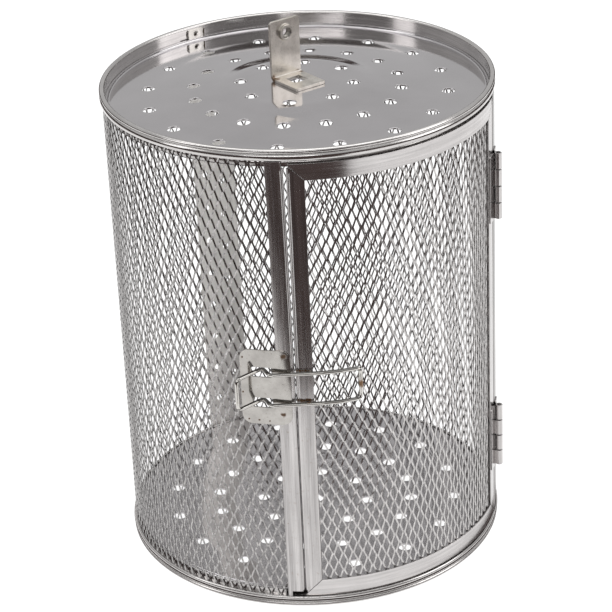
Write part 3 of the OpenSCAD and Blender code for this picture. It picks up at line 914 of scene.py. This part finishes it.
def drive_bracket():
    """Bent from one strip: the tab on the plate, the bend, and the upright with its drawn, tapped hole."""
    width, thick, tab, upright, bend_r = 14.6, 1.2, 16.2, 23.2, 1.0
    far = 9.8               # from the spit hole to the tab's end
    near = far - tab
    bend = bend_r * math.pi / 2
    total = tab + bend + upright
    hole_z, hole_r = 19.4, 2.95

    def seat(x, y, z):
        """From the bracket's own axes to its place on the upper plate."""
        return rotated(x, y, z + DRUM_H - PLATE_DEPTH, BRACKET_TURN)

    def place(p):
        u, w = p[:, 0], p[:, 2]
        phi = np.clip((u - tab) / bend_r, 0, math.pi / 2)
        x = np.where(u < tab, far - u, near - bend_r * np.sin(phi))
        z = thick / 2 + bend_r * (1 - np.cos(phi)) + np.maximum(u - tab - bend, 0)
        return seat(x + w * np.sin(phi), p[:, 1], z + w * np.cos(phi))

    hole_u = tab + bend + hole_z - (thick / 2 + bend_r)
    outline = box_loop(0, -width / 2, total, width / 2, (0.8, 1.5, 1.5, 0.8), 8)
    us = np.concatenate([np.arange(0.8, tab, 1.3), np.arange(tab + 0.2, tab + 2.4, 0.14),
                         np.arange(tab + 3, total, 1.3)])
    grid = np.array([(u, v) for u in us for v in np.arange(-6.6, 6.7, 1.2)])
    loops = [outline, spit_hole(far), circle_loop(hole_u, 0, hole_r, 48)]
    body = sheet(loops, thick, place, step=1.3, bevel=0.16, grid=grid)

    thread_r, depth, pitch, top, turns = 2.1, 0.25, 0.7, 2.55, 5
    thread = []
    for z in (top - i * pitch for i in reversed(range(turns))):
        thread += [(thread_r, z - pitch * 0.75, -0.7, -0.7), (thread_r + depth, z - pitch * 0.45, -0.9, 0.0),
                   (thread_r + depth, z - pitch * 0.3, -0.9, 0.0), (thread_r, z, -0.7, 0.7)]
    collar_r, collar_h, fillet, inner_edge, outer_edge = 3.3, 2.7, 0.45, 0.35, 0.3
    # The thread, the collar's rounded rim, the fillet at its foot, and the end that is sunk in the upright.
    collar = np.vstack([
        thread, arc(thread_r + inner_edge, collar_h - inner_edge, inner_edge, 180, 90, 4),
        arc(collar_r - outer_edge, collar_h - outer_edge, outer_edge, 90, 0, 5),
        arc(collar_r + fillet, thick + fillet, fillet, 180, 270, 6, -1),
        [[3.2, 1.1, 0, 1], [3.2, 0.1, 0, -1], [2.3, 0.0, -0.7, -0.7]]])
    back = near - thick / 2 - bend_r

    def about_hole(r, a, x):
        return seat(back + x, r * np.cos(a), hole_z + r * np.sin(a))

    return join(body, lathe(collar, full_turn(48), axis=about_hole))


# ------------------------------ build

def build_ends():
    """Both ends of the drum from the same shapes, and the drive bracket on the upper one."""
    for part, name, steel, slot in ((rim(), "rim", rim_steel, "rim_steel"),
                                    (end_plate(), "plate", plate_steel, "polished_plate"),
                                    (rim_strap(), "rim_strap", strap_steel, "welded_steel")):
        piece("lower_" + name, part, steel, slot, "drum", ["bottom_" + name])
        piece("upper_" + name, at_top(part), steel, slot, "drum", ["top_" + name])
    piece("bent_bracket", drive_bracket(), bracket_steel, "satin_bracket", "drum", ["drive_bracket"])


def build_mesh():
    """The wall in two sheets that meet at the seam strip, and the door's panel."""
    clear = 4 * angle_of(DOOR_GAP / 2, MESH_MID)
    window_half, overlap = 2.4, 0.6
    # The wall is open where the wire dips through its plate, and behind the slot at the latch post's foot.
    windows = [(257.6, 263.9, arm_z(side) - window_half, arm_z(side) + window_half) for side in (-1, 1)]
    foot_slot = (264.2, 271, 0, RIM_H + 3.2)
    for name, a0, a1, holes in (
            ("wall_mesh_hinge_side", DOOR_END + clear, SEAM_ANGLE, ()),
            ("wall_mesh_latch_side", SEAM_ANGLE, 360 + DOOR_START - clear, windows + [foot_slot])):
        part = expanded(a0, a1, RIM_H - overlap, DRUM_H - RIM_H + overlap, -1, holes)
        piece(name, part, wall_steel, "mesh_steel", "drum", ["body_mesh"])
    part = expanded(DOOR_START + clear, DOOR_END - clear, RAIL_LOW + 0.3, RAIL_HIGH - 0.3, 1)
    piece("door_expanded_mesh", part, mesh_steel, "mesh_steel", "door", ["door_mesh"])


def build_strips():
    """The strips and the latch plate on the drum, and the door's frame."""
    for part, name, node, steel, slot in (
            (seam_strip(), "inner_seam_strip", "seam_strip", lit_seam_steel, "strip_steel"),
            (latch_post(), "latch_side_post", "latch_post", strip_steel, "strip_steel"),
            (hinge_post(), "hinge_side_post", "hinge_post", shaded_post_steel, "strip_steel"),
            (latch_plate(), "windowed_latch_plate", "latch_plate", latch_steel, "satin_bracket")):
        piece(name, part, steel, slot, "drum", [node])
    for node, part in door_strips().items():
        steel = rail_steel if node.endswith("rail") else strip_steel
        piece(node + "_strip", part, steel, "strip_steel", "door", [node])


def build_hinges():
    """Two leaves and a pin for each hinge."""
    for which, z in (("upper", DRUM_H / 2 + HINGE_RISE), ("lower", DRUM_H / 2 - HINGE_RISE)):
        for part, name, node, steel, body in (
                (hinge_leaf(z, 1, 1), "rolled_fixed_leaf", "fixed_leaf", hinge_steel, "drum"),
                (hinge_leaf(z, -1, 0), "rolled_door_leaf", "door_leaf", hinge_steel, "door"),
                (hinge_pin(z), "peened_pin", "pin", pin_steel, "drum")):
            piece(which + "_" + name, part, steel, "hinge_steel", body, [which + "_hinge_" + node])


def build_latch():
    """The wire, with its weld on the door and its free arms, its transform baked into its mesh."""
    wire = piece("latch_spring_wire", latch_wire(), wire_steel, "spring_wire", None, ["latch_wire"])

    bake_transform(wire)


build_ends()
build_mesh()
build_strips()
build_hinges()
build_latch()


# ------------------------------ camera, floor and light

def camera():
    """The photograph's view. The distances are in drum radii."""
    azimuth, elevation, roll = (math.radians(a) for a in (4.4, 26.25, 2.58))
    aim_side, aim_height, distance = (share * DRUM_R * MM for share in (-0.005, 1.229, 12.21))
    right = Vector((math.cos(azimuth), math.sin(azimuth), 0))
    back = Vector((math.sin(azimuth) * math.cos(elevation), -math.cos(azimuth) * math.cos(elevation),
                   math.sin(elevation)))
    up = back.cross(right)
    across = right * math.cos(roll) - up * math.sin(roll)
    above = right * math.sin(roll) + up * math.cos(roll)
    matrix = Matrix((across, above, back)).transposed().to_4x4()
    matrix.translation = right * aim_side + Vector((0, 0, aim_height)) + back * distance
    data = bpy.data.cameras.new("camera")
    data.sensor_width = 36.0
    data.lens = 135.65
    data.clip_start = 0.05
    data.clip_end = 20
    obj = bpy.data.objects.new("camera", data)
    obj.matrix_world = matrix
    bpy.context.scene.collection.objects.link(obj)
    bpy.context.scene.camera = obj


def plain(name, colour, rough, glow=0.0):
    """A matt stage material with a faint unevenness."""
    material = bpy.data.materials.new(name)
    tree = cleared_tree(material)
    place = add(tree, "ShaderNodeTexCoord").outputs["Object"]
    tint = blend_colour(tree, noise(tree, place, 3.0), opaque(colour, 0.98), opaque(colour))
    shader = add(tree, "ShaderNodeBsdfPrincipled",
                 {"Base Color": tint, "Roughness": rough, "Specular IOR Level": 0.0,
                  "Emission Color": (1, 1, 1, 1), "Emission Strength": glow})
    add(tree, "ShaderNodeOutputMaterial", {"Surface": shader.outputs[0]})
    return material


def stage_mesh(name, verts, faces, material):
    """A mesh that belongs to the studio, in metres."""
    mesh = bpy.data.meshes.new(name)
    mesh.from_pydata(verts, [], faces)
    mesh.materials.append(material)
    obj = bpy.data.objects.new(name, mesh)
    bpy.context.scene.collection.objects.link(obj)
    return obj


def card(name, rings, material):
    """A card built from closed rings of points, which only shows in reflections."""
    n = len(rings[0])
    faces = [(k * n + i, k * n + (i + 1) % n, (k + 1) * n + (i + 1) % n, (k + 1) * n + i)
             for k in range(len(rings) - 1) for i in range(n)]
    obj = stage_mesh(name, [p for ring in rings for p in ring], faces, material)
    obj.visible_camera = False
    obj.visible_diffuse = False
    obj.visible_shadow = False


def lamp(name, place, size, power):
    """A soft rectangular lamp that shines on the drum."""
    data = bpy.data.lights.new(name, "AREA")
    data.shape = "RECTANGLE"
    data.size = size[0]
    data.size_y = size[1]
    data.energy = power
    obj = bpy.data.objects.new(name, data)
    obj.location = place
    obj.rotation_euler = (Vector((0, 0, 0.1)) - Vector(place)).to_track_quat("-Z", "Y").to_euler()
    bpy.context.scene.collection.objects.link(obj)


def floor_and_cards():
    """The pale floor, a dark surround with an opening round the drum, and a dark ring at the drum's foot."""
    stage_mesh("floor", [(-6, -6, 0), (6, -6, 0), (6, 6, 0), (-6, 6, 0)], [(0, 1, 2, 3)],
               plain("floor_white", (0.2, 0.2, 0.2), 0.9, 0.95))
    dark = plain("card_dark", (0.07, 0.05, 0.047), 0.9)
    opening = [(0.14, -0.25), (0.25, -0.6), (0.6, -0.5), (0.75, 0), (0.7, 0.6), (0, 0.9), (-0.7, 0.6),
               (-0.65, 0), (-0.5, -0.35), (-0.2, -0.5), (-0.02, -0.26)]
    lift, far_r, far_z = 0.0004, 4, 0.7
    far = [(far_r * x / math.hypot(x, y), far_r * y / math.hypot(x, y)) for x, y in opening]
    card("dark_surround", [[(x, y, lift) for x, y in opening], [(x, y, lift) for x, y in far],
                           [(x, y, far_z) for x, y in far]], dark)
    turns = [math.radians(5 * i) for i in range(72)]
    ring_z, inner, outer = 0.0003, 0.0808, 0.0862
    rings = [[(r * math.cos(t), r * math.sin(t), ring_z) for t in turns] for r in (inner, outer)]
    card("contact_shade", rings, dark)


def lamps():
    """A wide lamp overhead and three softer ones round the drum."""
    lamp("overhead", (0.1, 0.4, 1.7), (2.0, 1.6), 15)
    lamp("left_box", (-1.3, -0.5, 0.9), (0.4, 1.2), 2.5)
    lamp("right_box", (1.4, -0.2, 0.85), (0.9, 0.9), 5)
    lamp("front_box", (-0.2, -1.6, 0.95), (1.2, 0.3), 3)


def backdrop():
    """A world that is pale behind the drum and above it, and dark low in front, where the room would be."""
    world = bpy.data.worlds.new("studio")
    bpy.context.scene.world = world
    tree = cleared_tree(world)
    ray = add(tree, "ShaderNodeTexCoord").outputs["Generated"]
    split = add(tree, "ShaderNodeSeparateXYZ", {0: ray})
    behind = spread(tree, split.outputs["Y"], -0.95, 0.3, 0.0, 1.0, interpolation_type="SMOOTHSTEP")
    above = spread(tree, split.outputs["Z"], 0.2, 0.5, 0.0, 1.0, interpolation_type="SMOOTHSTEP")
    bright = maths(tree, "MAXIMUM", behind, above)
    colour = blend_colour(tree, bright, (0.1, 0.09, 0.088, 1), (0.62, 0.62, 0.62, 1))
    shade = add(tree, "ShaderNodeBackground", {"Color": colour, "Strength": 1.0})
    add(tree, "ShaderNodeOutputWorld", {"Surface": shade.outputs[0]})


camera()
floor_and_cards()
lamps()
backdrop()
bpy.context.scene.view_settings.view_transform = "Standard"
